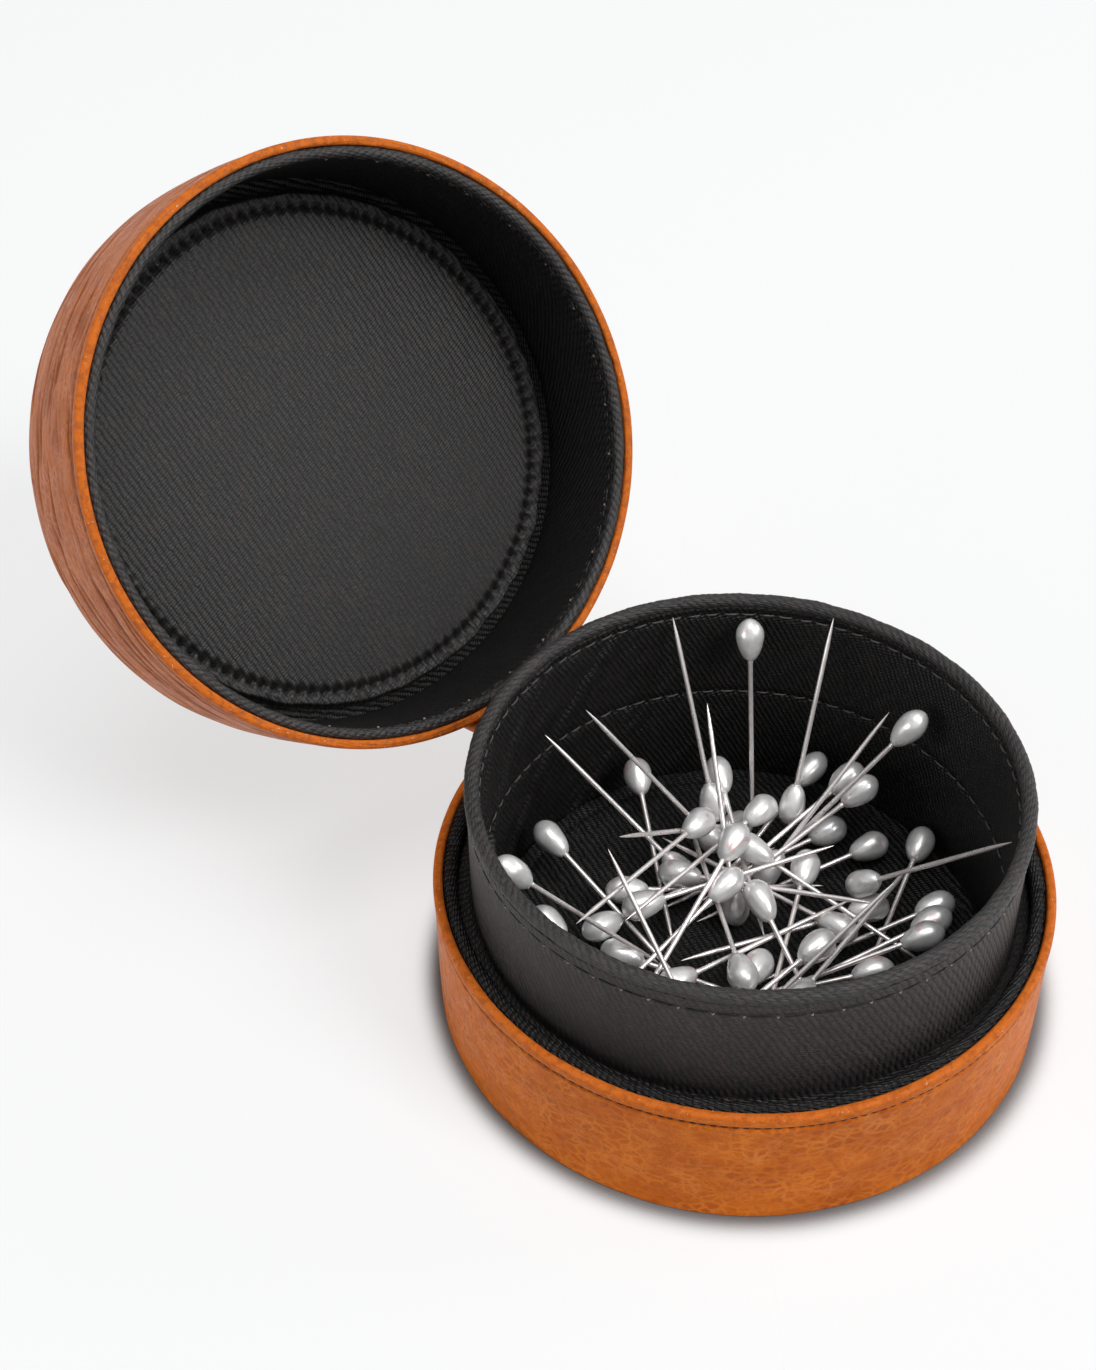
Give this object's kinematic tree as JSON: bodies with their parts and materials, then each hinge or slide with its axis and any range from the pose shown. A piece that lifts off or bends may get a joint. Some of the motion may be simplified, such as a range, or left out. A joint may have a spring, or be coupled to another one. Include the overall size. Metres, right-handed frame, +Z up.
{
  "type": "leather needle case",
  "caption": "Round leather case with a twill lined collar and a strap hinged lid, holding loose pearl head pins.",
  "frame": {"origin": "centre of the base's underside, on the surface that it stands on", "axes": "+Z up along the base's axis, +Y to the back, where the hinge strap is, -Y to the front"},
  "size_m": [0.1039, 0.1778, 0.1142],
  "materials": {
    "tan_leather": "semi-matt grain",
    "black_twill": "matt twill",
    "felt_padding": "felt",
    "pasteboard": "plain board",
    "pin_steel": "polished",
    "pearl": "pearl gloss"
  },
  "bodies": {
    "base": {"base_leather_wall": "tan_leather", "base_leather_bottom": "tan_leather", "base_floor_board": "pasteboard", "base_wall_board": "pasteboard", "base_shell_lining": "black_twill", "base_welt": "black_twill", "collar_board": "pasteboard", "collar_outer_sleeve": "black_twill", "collar_inner_lining": "black_twill", "collar_rim_roll": "black_twill", "floor_pad": "felt_padding", "floor_lining": "black_twill", "hinge_strap_base": "tan_leather", "pin_shafts": "pin_steel", "pin_heads": "pearl"},
    "lid": {"lid_leather_wall": "tan_leather", "lid_leather_top": "tan_leather", "lid_top_board": "pasteboard", "lid_wall_board": "pasteboard", "lid_wall_lining": "black_twill", "lid_top_lining": "black_twill", "lid_welt": "black_twill", "lid_pad_filling": "felt_padding", "lid_pad_cover": "black_twill", "hinge_strap_lid": "tan_leather"}
  },
  "joints": [
    {"name": "lid_hinge", "type": "hinge", "parent": "base", "child": "lid", "pos_m": [0, 0.0514, 0.0283], "axis": [-0.9954, 0, -0.0958], "range_deg": [-123.9, 46]}
  ]
}
